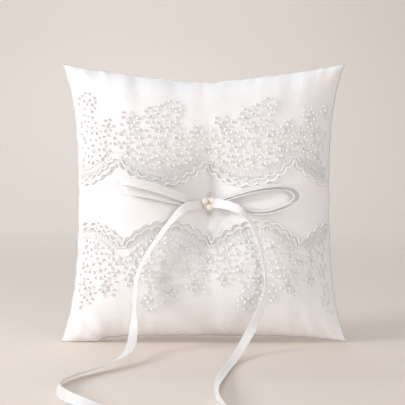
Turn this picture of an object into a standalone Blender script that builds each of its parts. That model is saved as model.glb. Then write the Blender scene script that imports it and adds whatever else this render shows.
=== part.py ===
"""Ring bearer pillow: a square satin cushion with two bands of scalloped lace, tufted through its
middle, with a double bow of narrow ribbon held by three pearls and two long ribbon tails.

The cushion stands on its bottom edge and leans back a little. Front is -Y, +X is the right side as
the pillow is looked at, +Z is up, and the origin is the middle of the footprint at table height.
Lengths are metres. The cushion pieces are modelled upright around the cushion's centre and hang
from one empty that leans them back. The two tails lie on the table, so they are modelled in place.
"""
import math

import bmesh
import bpy
from mathutils import Matrix, Vector
from mathutils.geometry import interpolate_bezier

# The cushion
CUT_HALF = 0.100                # half the side of the cut cloth between its seams
CORNER_HALF = 0.1003            # from the middle to the filled corners, sideways and upwards
BOTTOM_HALF = 0.0964            # the same downwards, where the cushion's weight shortens it
SIDE_PULL = 0.012               # how far the middle of each side pulls in
TOP_PULL = 0.0125
BOTTOM_PULL = 0.0046
CROWN = 0.0325                  # half the thickness before the tuft pulls the middle in
CROWN_SHARPNESS = 2.5
CROWN_FULLNESS = 0.65
EDGE_BOW = 2.5                  # 1 makes the pulled-in edge a V, higher keeps its middle straight for longer
TOP_BOW = 1.4
ARC_SPARE = 0.15                # cloth spent on the crown instead of the width
LEAN = math.radians(5)
CENTRE_HEIGHT = 0.0962          # from the table to the cushion's centre
CENTRE_Y = 0.0036               # sets the object's box on the origin
BACK_REACH = 0.0252             # behind the middle plane, where the lobes of the back are pressed flat

# Its cloth
CLOTH = 0.0006
SEAM_ALLOWANCE = 0.0064
FOLD_HALF = 0.0013              # from the seam's middle plane to the outside of the folded edge
SEAM_FACE = 0.00045             # from the middle plane to the face of the turned-in allowance
FOLD_ROUND = 0.0012
GAP = 0.0003                    # touching pieces keep this much air
GRID = 20                       # cells along one side of a panel
GRID_CROWDING = 0.6             # crowds the cells at the seams and the tuft, where the cloth turns fastest
TURNING_GAP_CELLS = 3           # the hand-closed gap reaches this many cells to each side of the middle
FILLING_CLEARANCE = 0.0016      # the faceted filling stays this far inside the faceted cover
CELLS_OVER_ALLOWANCE = 3        # the outermost cells, where the allowance takes the filling's place

# The tuft
TUFT_X = 0.0035
TUFT_DEPTH = 0.022
TUFT_SPREAD = 0.028
TUFT_ROUND = 0.008
THREAD_RADIUS = 0.0003
THREAD_HOLE = 0.0008

# The lace
LACE_REPEAT = 0.063
LACE_DIPS = {1: -0.0305, -1: -0.0375}   # where a scallop hangs lowest along the upper and the lower band
LACE_EDGE = 0.012               # from the middle of the cloth to the lowest point of the edge
LACE_SCALLOP = 0.014
LACE_SCALLOP_POWER = 2.2
LACE_TOP = 0.078
LACE_REACH = 0.095              # to each side of the middle, short of the side seams
LACE_LIFT = 0.0010
LACE_CLOTH = 0.0003
LACE_ROWS = 5
LACE_CORD_RADIUS = 0.0004
LACE_CORD_LIFT = 0.0022
LACE_CORD_STEPS = 54
LACE_INNER_CORD = 0.007         # how far inside the edge the second cord runs

# The ribbon and the pearls
RIBBON_WIDTH = 0.006
RIBBON_THICK = 0.0003
KNOT_SIZE = (0.0040, 0.0017, 0.0032)
KNOT_Y = -0.0154
PEARL_RADIUS = 0.0023
PEARL_RING = 0.0029
PEARL_RING_TURN = math.radians(37)
PEARL_Y = -0.0198
PEARL_HOLE = 0.00055
PEARL_THREAD_RADIUS = 0.00015

# Routes chosen by hand, in millimetres: x, y, z of the ribbon's middle, then the direction across it.
# The loops are measured from the cushion's centre, the tails from the object's origin.
LOOP_LEFT_FRONT = [
    (-1.3, -15.5, 0.5, 0, 0, 1), (-9, -19.5, 1.5, 0, 0, 1), (-18, -25.0, 4.5, 0.2, 0, 1),
    (-30, -29.4, 8.5, 0.25, 0, 1), (-43, -31.6, 11.8, 0.2, 0, 1), (-52, -32.4, 13.6, 0.1, 0, 1),
    (-56.5, -34.7, 14.4, 0, 0, 1), (-52, -37.0, 13.8, 0.1, 0, 1), (-43, -37.2, 12.0, 0.2, 0, 1),
    (-30, -34.2, 8.5, 0.25, 0, 1), (-18, -28.4, 4.5, 0.2, 0, 1), (-9, -21.0, 1.5, 0, 0, 1),
    (-1.3, -16.2, 0.5, 0, 0, 1),
]
LOOP_LEFT_REAR = [
    (-1.3, -14.1, -0.5, 0, 0, 1), (-9, -17.6, -0.2, 0, 0, 1), (-18, -21.6, 1.5, 0.1, 0, 1),
    (-30, -25.2, 4.0, 0.2, 0, 1), (-43, -27.0, 6.5, 0.2, 0, 1), (-51, -27.6, 8.0, 0.1, 0, 1),
    (-54.5, -29.0, 8.8, 0, 0, 1), (-51, -30.4, 8.0, 0.1, 0, 1), (-43, -30.1, 6.5, 0.2, 0, 1),
    (-30, -27.8, 4.0, 0.2, 0, 1), (-18, -23.2, 1.5, 0.1, 0, 1), (-9, -18.4, -0.2, 0, 0, 1),
    (-1.3, -14.8, -0.5, 0, 0, 1),
]
LOOP_RIGHT_OUTER = [
    (9.6, -17.4, 1.6, 0, 1, 0), (13.3, -19.3, 3.0, 0, 0.95, 0.3), (21, -23.5, 6.0, 0, 0.85, 0.5),
    (31, -27.0, 8.6, 0, 0.85, 0.5), (42, -28.5, 10.6, 0, 0.88, 0.45), (54, -28.2, 11.0, 0, 0.95, 0.3),
    (62, -26.9, 9.0, 0, 1, 0.1), (65.8, -26.2, 4.6, 0, 1, 0), (62.5, -26.4, 0.4, 0, 1, 0.1),
    (54, -27.8, -4.0, 0, 0.95, 0.3), (43, -28.4, -7.0, 0, 0.93, 0.35), (32, -27.4, -6.6, 0, 0.93, 0.35),
    (22, -23.6, -3.2, 0, 0.95, 0.3), (14, -19.6, -1.5, 0, 1, 0.1), (9.6, -17.4, -1.0, 0, 1, 0),
]
LOOP_RIGHT_INNER = [
    (9.6, -17.4, 0.8, 0, 1, 0), (13.3, -19.3, 1.7, 0, 0.95, 0.3), (21, -23.5, 4.2, 0, 0.85, 0.5),
    (31, -27.0, 6.7, 0, 0.85, 0.5), (42, -28.5, 8.7, 0, 0.88, 0.45), (52, -28.3, 8.9, 0, 0.95, 0.3),
    (58.5, -27.4, 7.2, 0, 1, 0.1), (61.2, -26.8, 4.0, 0, 1, 0), (58.5, -27.0, 0.9, 0, 1, 0.1),
    (52, -27.9, -2.2, 0, 0.95, 0.3), (43, -28.4, -4.9, 0, 0.93, 0.35), (32, -27.4, -4.8, 0, 0.93, 0.35),
    (22, -23.6, -1.6, 0, 0.95, 0.3), (14, -19.6, -0.5, 0, 1, 0.1), (9.6, -17.4, -0.1, 0, 1, 0),
]
TAIL_LEFT = [
    (-1.6, -14.7, 97.0, 0, 0, 1), (-7.0, -19.6, 96.6, 0, 0, 1), (-13.5, -24.4, 94.4, -0.3, 0.3, 0.9),
    (-21.7, -29.6, 86.7, -0.4, 0.8, 0.35), (-29.8, -32.6, 76.6, -0.4, 0.85, 0.3),
    (-39.0, -34.6, 62.6, -0.4, 0.9, 0.2), (-45.2, -35.6, 48.4, -0.4, 0.9, 0.1),
    (-46.7, -42.0, 27.2, -0.5, 0.8, -0.4), (-46.5, -56.0, 13.4, -0.9, 0.3, 0),
    (-47.2, -83.0, 7.6, -1, -0.1, -0.1), (-51.5, -103.0, 5.2, -0.8, 0.3, -0.3),
    (-61.3, -123.5, 3.4, -0.7, 0.6, -0.4), (-73.0, -144.0, 2.6, -0.7, 0.5, -0.5),
    (-79.2, -165.4, 2.7, -0.6, 0.2, -0.7), (-79.4, -190.0, 3.2, -0.3, 0, -1),
    (-73.5, -208.0, 3.0, -0.4, -0.4, -0.9), (-64.5, -220.0, 2.4, -0.5, -0.6, -0.6),
    (-53.0, -230.0, 1.2, -0.6, -0.8, -0.2), (-40.0, -237.5, 0.5, -0.5, -0.9, 0),
]
TAIL_RIGHT = [
    (9.8, -19.8, 97.6, 0, 0, 1), (15.0, -24.0, 96.8, 0.1, 0.1, 1), (21.5, -29.0, 94.8, 0.2, 0.4, 0.9),
    (26.5, -32.2, 91.0, 0.35, 0.8, 0.3), (31.4, -33.8, 85.4, 0.3, 0.9, 0.2),
    (36.5, -34.6, 72.7, 0.3, 0.95, 0.1), (40.5, -35.6, 56.5, 0.3, 0.95, 0),
    (41.6, -36.6, 43.2, 0.4, 0.9, -0.1), (40.0, -39.6, 33.6, 0.6, 0.75, -0.3),
    (33.8, -46.5, 19.3, 0.85, 0.4, -0.2), (28.2, -56.0, 10.6, 0.9, 0, -0.1),
    (23.0, -70.0, 4.4, 0.95, -0.1, -0.1), (17.4, -96.0, 1.2, 1, -0.2, 0),
    (12.6, -124.0, 1.0, 1, -0.1, 0.1), (9.4, -152.0, 1.5, 0.9, -0.1, 0.3),
    (7.3, -184.0, 2.6, 0.6, 0, 0.8), (7.3, -208.0, 3.1, 0.1, 0, 1),
    (9.6, -226.0, 2.8, -0.4, -0.2, 0.9), (15.0, -241.0, 1.6, -0.8, -0.3, 0.4),
    (23.0, -254.0, 0.6, -0.9, -0.5, 0), (32.5, -265.0, 0.5, -0.8, -0.6, 0),
]
ROUTE_STEPS = 3                 # ribbon sections to each stretch between two route points


# ---------------------------------------------------------------- the cushion's surface

def bow(t, power):
    """1 in the middle of a side, 0 at its corners."""
    return 1 - abs(t) ** power


def half_width(v):
    return CORNER_HALF - SIDE_PULL * bow(v, EDGE_BOW)


def half_height(u, v):
    if v > 0:
        return CORNER_HALF - TOP_PULL * bow(u, TOP_BOW)
    return BOTTOM_HALF - BOTTOM_PULL * bow(u, EDGE_BOW)


def along(t):
    """Where a point of the flat cloth lands along the filled cushion, both from -1 to 1."""
    return t * (1 + ARC_SPARE * (1 - t * t))


def crown(u, v, x, z):
    full = (bow(u, CROWN_SHARPNESS) * bow(v, CROWN_SHARPNESS)) ** CROWN_FULLNESS
    away = math.sqrt((x - TUFT_X) ** 2 + z ** 2 + TUFT_ROUND ** 2) - TUFT_ROUND
    return CROWN * full - TUFT_DEPTH * full * math.exp(-away / TUFT_SPREAD)


def skin(u, v, side):
    """A point on the outside of the cushion; side is -1 in front and 1 behind."""
    x = half_width(v) * along(u)
    z = half_height(u, v) * along(v)
    return Vector((x, side * (FOLD_HALF + crown(u, v, x, z)), z))


def skin_normal(u, v, side, step=0.004):
    limit = 1 - step
    u = max(-limit, min(limit, u))
    v = max(-limit, min(limit, v))
    across = skin(u + step, v, side) - skin(u - step, v, side)
    upward = skin(u, v + step, side) - skin(u, v - step, side)
    return (upward.cross(across) * side).normalized()


def pressed(point, lift):
    """Flattens the lobes of the back, where the cushion lies on a tray."""
    x, y, z = point
    return Vector((x, min(y, BACK_REACH - max(-lift, 0)), z))


def on_cushion(u, v, side, lift=0.0):
    """A point lift metres out from the cushion's outside."""
    return pressed(skin(u, v, side) + skin_normal(u, v, side) * lift, lift)


def grid_steps():
    raw = [-1 + 2 * k / GRID for k in range(GRID + 1)]
    return [t - GRID_CROWDING * math.sin(2 * math.pi * t) / (2 * math.pi) for t in raw]


def outline_steps():
    """The (u, v) pairs once round the border, in step with the grid."""
    steps = grid_steps()
    bottom = [(u, -1.0) for u in steps[:-1]]
    right = [(1.0, v) for v in steps[:-1]]
    top = [(u, 1.0) for u in reversed(steps[1:])]
    left = [(-1.0, v) for v in reversed(steps[1:])]
    return bottom + right + top + left


def seam_point(u, v, inset, y):
    """A point in from the cushion's outline, y from the seam's middle plane."""
    edge = skin(u, v, 1)
    shrink_x = 1 - inset / half_width(v)
    shrink_z = 1 - inset / half_height(u, v)
    return Vector((edge.x * shrink_x, y, edge.z * shrink_z))


# ---------------------------------------------------------------- making objects

def clear_scene():
    for old in list(bpy.data.objects):
        bpy.data.objects.remove(old, do_unlink=True)


def material(name, colour, roughness):
    made = bpy.data.materials.new(name)
    made.use_nodes = True
    shader = made.node_tree.nodes["Principled BSDF"]
    shader.inputs["Base Color"].default_value = (*colour, 1)
    shader.inputs["Roughness"].default_value = roughness
    return made


def add_object(name, bm, finish, parent, smooth=True):
    bmesh.ops.recalc_face_normals(bm, faces=bm.faces)
    if bm.calc_volume(signed=True) < 0:
        bmesh.ops.reverse_faces(bm, faces=bm.faces)
    mesh = bpy.data.meshes.new(name)
    bm.to_mesh(mesh)
    bm.free()
    if smooth:
        mesh.shade_smooth()
        mesh.set_sharp_from_angle(angle=math.radians(40))
    mesh.materials.append(finish)
    made = bpy.data.objects.new(name, mesh)
    made.parent = parent
    bpy.context.scene.collection.objects.link(made)
    return made


def drill(target, start, end, radius, sides=10):
    """Cuts a round hole through target along the line from start to end."""
    axis = end - start
    bm = bmesh.new()
    bmesh.ops.create_cone(
        bm, cap_ends=True, segments=sides, radius1=radius, radius2=radius, depth=axis.length
    )
    mesh = bpy.data.meshes.new(target.name + "_hole")
    bm.to_mesh(mesh)
    bm.free()
    cutter = bpy.data.objects.new(target.name + "_hole", mesh)
    cutter.parent = target.parent
    cutter.location = (start + end) / 2
    cutter.rotation_euler = axis.to_track_quat("Z", "Y").to_euler()
    cutter.hide_render = True
    cutter.display_type = "WIRE"
    bpy.context.scene.collection.objects.link(cutter)
    cut = target.modifiers.new("thread_hole", "BOOLEAN")
    cut.operation = "DIFFERENCE"
    cut.solver = "MANIFOLD"
    cut.object = cutter


def sheet_faces(bm, rows):
    """Quads between neighbouring rows of vertices."""
    for low, high in zip(rows, rows[1:]):
        for k in range(len(low) - 1):
            bm.faces.new((low[k], low[k + 1], high[k + 1], high[k]))


def rim(rows):
    """The vertices once round the border of a block of rows."""
    left = [row[0] for row in rows]
    right = [row[-1] for row in rows]
    return rows[0][:-1] + right[:-1] + rows[-1][:0:-1] + left[:0:-1]


def band_faces(bm, ring_a, ring_b):
    count = len(ring_a)
    for k in range(count):
        after = (k + 1) % count
        bm.faces.new((ring_a[k], ring_a[after], ring_b[after], ring_b[k]))


def smooth_route(points, steps):
    """A smooth curve through the points, in metres, with steps sections to each stretch."""
    spots = [Vector(p) for p in points]
    tangents = []
    for k in range(len(spots)):
        before = spots[max(k - 1, 0)]
        after = spots[min(k + 1, len(spots) - 1)]
        tangents.append((after - before) / 6 if 0 < k < len(spots) - 1 else (after - before) / 3)
    route = [spots[0]]
    for k in range(len(spots) - 1):
        start, end = spots[k], spots[k + 1]
        stretch = interpolate_bezier(start, start + tangents[k], end - tangents[k + 1], end, steps + 1)
        route.extend(stretch[1:])
    return route


def directions(route, closed=False):
    count = len(route)
    found = []
    for k in range(count):
        before = route[k - 1] if closed or k else route[0]
        after = route[(k + 1) % count] if closed or k < count - 1 else route[-1]
        found.append((after - before).normalized())
    return found


def sweep(bm, profiles, closed=False):
    """Joins the profiles, one at each point of a route, into one closed body."""
    rings = [[bm.verts.new(p) for p in profile] for profile in profiles]
    for ring_a, ring_b in zip(rings, rings[1:]):
        band_faces(bm, ring_a, ring_b)
    if closed:
        band_faces(bm, rings[-1], rings[0])
    else:
        bm.faces.new(rings[0])
        bm.faces.new(rings[-1])


def thread(name, route, radius, sides, finish, parent, closed=False):
    """A round thread or cord along the route."""
    profiles = []
    for spot, ahead in zip(route, directions(route, closed)):
        aside = ahead.cross(Vector((0, 1, 0)) if abs(ahead.y) < 0.9 else Vector((1, 0, 0))).normalized()
        over = ahead.cross(aside).normalized()
        turns = [2 * math.pi * k / sides for k in range(sides)]
        profiles.append([spot + radius * (aside * math.cos(a) + over * math.sin(a)) for a in turns])
    bm = bmesh.new()
    sweep(bm, profiles, closed)
    return add_object(name, bm, finish, parent)


def ribbon_faces(bm, near, far):
    """Triangles between two sections, split the same way on both broad faces, so they stay parallel."""
    for k in (0, 1):
        bm.faces.new((near[k], near[k + 1], far[k + 1]))
        bm.faces.new((near[k], far[k + 1], far[k]))
    for k, after in ((2, 3), (3, 0)):
        bm.faces.new((near[k], near[after], far[k]))
        bm.faces.new((near[after], far[after], far[k]))


def ribbon(name, route_mm, finish, parent):
    """A flat ribbon along a hand-chosen route with its directions across."""
    route = smooth_route([[c / 1000 for c in p[:3]] for p in route_mm], ROUTE_STEPS)
    across = smooth_route([p[3:] for p in route_mm], ROUTE_STEPS)
    profiles = []
    for spot, wide, ahead in zip(route, across, directions(route)):
        wide = (wide - ahead * wide.dot(ahead)).normalized() * RIBBON_WIDTH / 2
        thick = ahead.cross(wide).normalized() * RIBBON_THICK / 2
        profiles.append([spot - wide - thick, spot + wide - thick, spot + wide + thick, spot - wide + thick])
    bm = bmesh.new()
    sections = [[bm.verts.new(p) for p in profile] for profile in profiles]
    for near, far in zip(sections, sections[1:]):
        ribbon_faces(bm, near, far)
    bm.faces.new(sections[0])
    bm.faces.new(sections[-1])
    return add_object(name, bm, finish, parent, smooth=False)


# ---------------------------------------------------------------- the sub-parts

def panel(name, side, finish, parent):
    """One face of the cover: a shell of cloth whose seam allowance is turned in all round."""
    steps = grid_steps()
    bm = bmesh.new()
    outside = [[bm.verts.new(on_cushion(u, v, side)) for u in steps] for v in steps]
    last = len(steps) - 1
    inside = []
    for j, v in enumerate(steps):
        row = []
        for i, u in enumerate(steps):
            if i in (0, last) or j in (0, last):
                spot = seam_point(u, v, FOLD_ROUND, side * (SEAM_FACE + CLOTH + GAP))
            else:
                spot = on_cushion(u, v, side, -CLOTH)
            row.append(bm.verts.new(spot))
        inside.append(row)
    sheet_faces(bm, outside)
    sheet_faces(bm, inside)
    turned = [
        (FOLD_ROUND, SEAM_FACE),
        (SEAM_ALLOWANCE, SEAM_FACE),
        (SEAM_ALLOWANCE, SEAM_FACE + CLOTH),
    ]
    rings = [rim(outside)]
    for inset, y in turned:
        rings.append([bm.verts.new(seam_point(u, v, inset, side * y)) for u, v in outline_steps()])
    rings.append(rim(inside))
    for ring_a, ring_b in zip(rings, rings[1:]):
        band_faces(bm, ring_a, ring_b)
    made = add_object(name, bm, finish, parent)
    tuft = skin(TUFT_X / half_width(0) / (1 + ARC_SPARE), 0, side)
    drill(made, tuft - Vector((0, 0.01, 0)), tuft + Vector((0, 0.01, 0)), THREAD_HOLE)
    return made


def fibre_filling(finish, parent):
    """The stuffing, which fills the cover up to the turned-in allowances."""
    inward = CLOTH + FILLING_CLEARANCE
    steps = grid_steps()[CELLS_OVER_ALLOWANCE:-CELLS_OVER_ALLOWANCE]
    bm = bmesh.new()
    halves = []
    for side in (-1, 1):
        rows = [[bm.verts.new(on_cushion(u, v, side, -inward)) for u in steps] for v in steps]
        sheet_faces(bm, rows)
        halves.append(rim(rows))
    band_faces(bm, halves[0], halves[1])
    made = add_object("fibre_filling", bm, finish, parent)
    drill(made, Vector((TUFT_X, -0.05, 0)), Vector((TUFT_X, 0.05, 0)), THREAD_HOLE)
    return made


def seam_threads(finish, parent):
    """The machine seam round the edge, and the hand stitches that close the turning gap."""
    groove = [seam_point(u, v, 0.0002, 0) for u, v in outline_steps()]
    gap_start = GRID // 2 - TURNING_GAP_CELLS
    gap_end = GRID // 2 + TURNING_GAP_CELLS
    machine = groove[gap_end + 1:] + groove[:gap_start]
    opening = groove[gap_start:gap_end + 1]
    thread("edge_seam_thread", machine, 0.00015, 4, finish, parent)
    stitches = []
    for start, end in zip(opening, opening[1:]):
        for part in (0.25, 0.75):
            spot = start.lerp(end, part)
            sway = FOLD_HALF * 0.8 * (1 if part < 0.5 else -1)
            stitches.append(spot + Vector((0, sway, -0.0008)))
    thread("closing_stitches", stitches, 0.00015, 4, finish, parent)


def scallop(across, turn):
    """Height of a band's scalloped edge above the middle of the cloth; turn is -1 for the lower band."""
    from_dip = (across - LACE_DIPS[turn]) / LACE_REPEAT
    from_dip = 2 * abs(from_dip - round(from_dip))
    return LACE_EDGE + LACE_SCALLOP * from_dip ** LACE_SCALLOP_POWER


def on_lace(across, up, turn, lift):
    """A point of a band, given in metres on its flat cloth; the lower band is the upper one turned."""
    return on_cushion(turn * across / CUT_HALF, turn * up / CUT_HALF, -1, lift)


def lace_columns():
    """The panel's own columns and their midpoints, so that the net lies clear of its facets."""
    steps = [t for t in grid_steps() if abs(t) < LACE_REACH / CUT_HALF + 0.01]
    middles = [(a + b) / 2 for a, b in zip(steps, steps[1:])]
    return [t * CUT_HALF for t in sorted(steps + middles)]


def lace_net(name, turn, finish, parent):
    bm = bmesh.new()
    columns = lace_columns()
    layers = []
    for lift in (LACE_LIFT, LACE_LIFT + LACE_CLOTH):
        rows = []
        for j in range(LACE_ROWS + 1):
            share = j / LACE_ROWS
            heights = [scallop(x, turn) * (1 - share) + LACE_TOP * share for x in columns]
            rows.append([bm.verts.new(on_lace(x, up, turn, lift)) for x, up in zip(columns, heights)])
        sheet_faces(bm, rows)
        layers.append(rim(rows))
    band_faces(bm, layers[0], layers[1])
    return add_object(name, bm, finish, parent)


def lace_cord(name, turn, inward, finish, parent):
    """A cord laid along the scallops, inward metres inside the edge."""
    route = []
    for k in range(LACE_CORD_STEPS + 1):
        across = LACE_REACH * (2 * k / LACE_CORD_STEPS - 1)
        route.append(on_lace(across, scallop(across, turn) + inward, turn, LACE_CORD_LIFT))
    return thread(name, route, LACE_CORD_RADIUS, 4, finish, parent)


def lace_band(place, turn, finish, parent):
    lace_net(place + "_lace_net", turn, finish, parent)
    lace_cord(place + "_lace_edge_cord", turn, 0.001, finish, parent)
    lace_cord(place + "_lace_inner_cord", turn, LACE_INNER_CORD, finish, parent)


def bow_knot(finish, parent):
    """The gathered middle of the bow."""
    bm = bmesh.new()
    bmesh.ops.create_icosphere(bm, subdivisions=2, radius=1)
    bmesh.ops.scale(bm, vec=KNOT_SIZE, verts=bm.verts)
    bmesh.ops.translate(bm, vec=(TUFT_X, KNOT_Y, 0), verts=bm.verts)
    return add_object("bow_knot", bm, finish, parent)


def pearl_axes():
    """Centre and drilling direction of each pearl: right, left, lower."""
    axes = []
    for k in range(3):
        angle = PEARL_RING_TURN + 2 * math.pi * k / 3
        outward = Vector((math.cos(angle), 0, math.sin(angle)))
        along_ring = Vector((-math.sin(angle), 0, math.cos(angle)))
        axes.append((Vector((TUFT_X, PEARL_Y, 0)) + outward * PEARL_RING, along_ring))
    return axes


def pearls(finish, thread_finish, parent):
    """Three drilled pearls on a loop of thread."""
    loop = []
    for name, (centre, along_ring) in zip(("pearl_right", "pearl_left", "pearl_lower"), pearl_axes()):
        bm = bmesh.new()
        bmesh.ops.create_uvsphere(bm, u_segments=14, v_segments=9, radius=PEARL_RADIUS)
        bmesh.ops.translate(bm, vec=centre, verts=bm.verts)
        made = add_object(name, bm, finish, parent)
        reach = along_ring * PEARL_RADIUS * 1.5
        drill(made, centre - reach, centre + reach, PEARL_HOLE, sides=8)
        mouth = along_ring * (PEARL_RADIUS + 0.0001)
        loop += [centre - mouth, centre, centre + mouth]
    thread("pearl_thread", loop, PEARL_THREAD_RADIUS, 6, thread_finish, parent, closed=True)


def tuft_ties(finish, parent):
    """The thread that pulls the middle in, and the knot that anchors it behind."""
    front = Vector((TUFT_X, KNOT_Y + KNOT_SIZE[1] + GAP, 0))
    behind = skin(TUFT_X / half_width(0) / (1 + ARC_SPARE), 0, 1)
    anchor = behind + Vector((0, 0.0018, 0))
    route = [front.lerp(anchor, k / 6) for k in range(7)]
    route[-1] = anchor - Vector((0, 0.0011 + GAP, 0))
    thread("tuft_thread", route, THREAD_RADIUS, 6, finish, parent)
    bm = bmesh.new()
    bmesh.ops.create_icosphere(bm, subdivisions=2, radius=0.0011)
    bmesh.ops.scale(bm, vec=(1.8, 1, 1.4), verts=bm.verts)
    bmesh.ops.translate(bm, vec=anchor, verts=bm.verts)
    add_object("tuft_anchor_knot", bm, finish, parent)


def build():
    clear_scene()
    satin = material("satin", (0.93, 0.93, 0.95), 0.45)
    lace = material("lace", (0.96, 0.96, 0.96), 0.8)
    ribbon_satin = material("ribbon_satin", (0.96, 0.96, 0.97), 0.35)
    pearl = material("pearl", (0.93, 0.87, 0.75), 0.2)
    cotton = material("thread", (0.94, 0.94, 0.93), 0.7)
    fibre = material("fibre", (0.92, 0.92, 0.92), 0.9)

    stand = bpy.data.objects.new("cushion_lean", None)
    stand.matrix_world = Matrix.Translation((0, CENTRE_Y, CENTRE_HEIGHT)) @ Matrix.Rotation(-LEAN, 4, "X")
    bpy.context.scene.collection.objects.link(stand)

    panel("front_panel", -1, satin, stand)
    panel("back_panel", 1, satin, stand)
    fibre_filling(fibre, stand)
    seam_threads(cotton, stand)
    lace_band("upper", 1, lace, stand)
    lace_band("lower", -1, lace, stand)
    ribbon("bow_loop_left_front", LOOP_LEFT_FRONT, ribbon_satin, stand)
    ribbon("bow_loop_left_rear", LOOP_LEFT_REAR, ribbon_satin, stand)
    ribbon("bow_loop_right_outer", LOOP_RIGHT_OUTER, ribbon_satin, stand)
    ribbon("bow_loop_right_inner", LOOP_RIGHT_INNER, ribbon_satin, stand)
    bow_knot(ribbon_satin, stand)
    pearls(pearl, cotton, stand)
    tuft_ties(cotton, stand)
    ribbon("ribbon_tail_left", TAIL_LEFT, ribbon_satin, None)
    ribbon("ribbon_tail_right", TAIL_RIGHT, ribbon_satin, None)


build()
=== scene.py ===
"""The looks of the ring bearer pillow: satin cushion, scalloped lace, double bow, pearls and tails.

Lengths are metres, in the row frame. Shapes of the cushion are worked out upright around the
cushion's centre, as in the part's source, and leaned back by LEANED when a piece is made.
"""
import math
import random

import bpy
import bmesh
import numpy as np
from mathutils import Matrix, Vector
from mathutils.geometry import interpolate_bezier


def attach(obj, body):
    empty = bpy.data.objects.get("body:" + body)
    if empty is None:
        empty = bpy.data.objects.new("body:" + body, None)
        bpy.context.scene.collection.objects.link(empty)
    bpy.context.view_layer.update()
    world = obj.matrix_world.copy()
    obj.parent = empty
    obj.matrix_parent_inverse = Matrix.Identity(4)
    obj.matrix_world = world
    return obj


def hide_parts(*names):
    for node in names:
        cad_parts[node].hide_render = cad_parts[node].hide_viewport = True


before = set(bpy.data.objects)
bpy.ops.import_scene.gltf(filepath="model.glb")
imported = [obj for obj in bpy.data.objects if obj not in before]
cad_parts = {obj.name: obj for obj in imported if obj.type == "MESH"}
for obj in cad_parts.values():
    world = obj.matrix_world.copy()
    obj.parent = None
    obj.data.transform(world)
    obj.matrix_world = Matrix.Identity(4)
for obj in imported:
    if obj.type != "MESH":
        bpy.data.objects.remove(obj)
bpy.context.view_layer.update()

MM = 0.001

# The view and the studio
LENS = 102
CAMERA_PLACE = (-0.001, -0.8066, 0.122)
CAMERA_DOWN = math.radians(1.72)
LIGHT_TARGET = (0, 0, 0.09)
WORLD_STRENGTH = 0.47
FLOOR_COLOUR = (0.80, 0.71, 0.64)
FLOOR_REACH = 2.6  # in front of and behind the object
FLOOR_HALF_WIDTH = 2.8
BACKDROP_HEIGHT = 2.6
BACKDROP_BEND = 0.6
BEND_STEPS = 12

# The cushion, with the dimensions of its CAD solids but for a sharper dip in its top edge
CUT_HALF = 0.100  # half the side of the square that each face is cut from
CORNER_HALF = 0.1003
BOTTOM_HALF = 0.0964
SIDE_PULL = 0.012  # how far the filling draws in the middle of an edge
TOP_PULL = 0.0136
BOTTOM_PULL = 0.0046
CROWN = 0.0325  # height of each face over the middle plane
CROWN_SHARPNESS = 2.5
CROWN_FULLNESS = 0.65
EDGE_BOW = 2.5  # 1 makes the drawn-in edge a V, higher keeps its middle straight
TOP_BOW = 1.2
ARC_SPARE = 0.15  # cloth spent on the crown instead of the width
LEAN = math.radians(5)
CENTRE_HEIGHT = 0.0962
CENTRE_Y = 0.0036
BACK_REACH = 0.0252  # where the lobes of the back are pressed flat
TUFT_X = 0.0035
TUFT_DEPTH = 0.022
TUFT_SPREAD = 0.028
TUFT_ROUND = 0.008
LEANED = Matrix.Translation((0, CENTRE_Y, CENTRE_HEIGHT)) @ Matrix.Rotation(-LEAN, 4, "X")

# The cloth and its simulation
CELLS = 96  # along one side of a cushion face
CLOTH = 0.0006
SEAM_HALF = 0.00025  # each face's folded edge stands this far from the seam's middle plane
FLAT_SHARE = 0.97  # the cloth's rest size as a share of the cut, for a taut filling
SIM_FRAMES = 16
SIM_PRESSURE = 4.0
CLOTH_SETTINGS = {
    "quality": 6, "mass": 0.15, "air_damping": 2, "tension_stiffness": 15, "compression_stiffness": 8,
    "shear_stiffness": 6, "bending_stiffness": 0.05, "tension_damping": 12, "compression_damping": 12,
    "shear_damping": 12,
}
SIM_CAP = 0.004  # how far the simulation may move a point of the cloth
TUFT_HELD = 0.005  # the cloth this near the tuft doesn't move
SEED = 7
HEM = 0.0035  # how far the turned-in edge reaches inside the seam
HEM_OPEN = 0.0006  # how far it leans away from the middle plane
FILLING_GAP = 0.0026  # from the cover's outside to the filling
FILLING_STEP = 4  # the filling takes every fourth row of the cover's grid

# Puckers along the seam: depth, wavelength, how far they reach into the face, seed offset
SEAM_FLAT = 0.0015  # the faces stay even this close to the seam
SMALL_PUCKERS = (0.0010, 0.009, 0.008, 0)
BROAD_PUCKERS = (0.0015, 0.021, 0.022, 40)
SEAM_WANDER = (0.00045, 0.011, 0.006, 70)

# Creases of the tuft: depth and width
VALLEY = (0.0046, 0.015)
CREASE = (0.0036, 0.0035)
CREASE_REACH = 0.036  # how far up and down the crease runs
CREASE_SLANT = 0.03
KNOT_BED = 0.005  # the crease is shallow this near the knot
FAN = (0.0010, 0.0022)
FAN_REACH = 0.028
FAN_FOLDS = ((0.55, 0.9), (-0.5, 0.8), (1.7, 0.6), (-1.5, 0.6))  # slope, share of the depth

# The empty corner at the lower left: a fold and a ridge across it, as depth, width and where they
# meet the bottom seam, in shares of half the cut
EAR_FOLD = (0.0034, 0.0026, 0.64)
EAR_RIDGE = (0.0022, 0.0040, 0.56)
EAR_SLOPE = 1.15

# The seam's threads
SEAM_THREAD_RADIUS = 0.00022
LADDER_RADIUS = 0.00016
LADDER_SWAY = 0.0009  # from the middle plane to each side of the gap
LADDER_DROP = 0.0004
GAP_SHARE = 3 / 20  # half the turning gap as a share of the bottom edge

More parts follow.
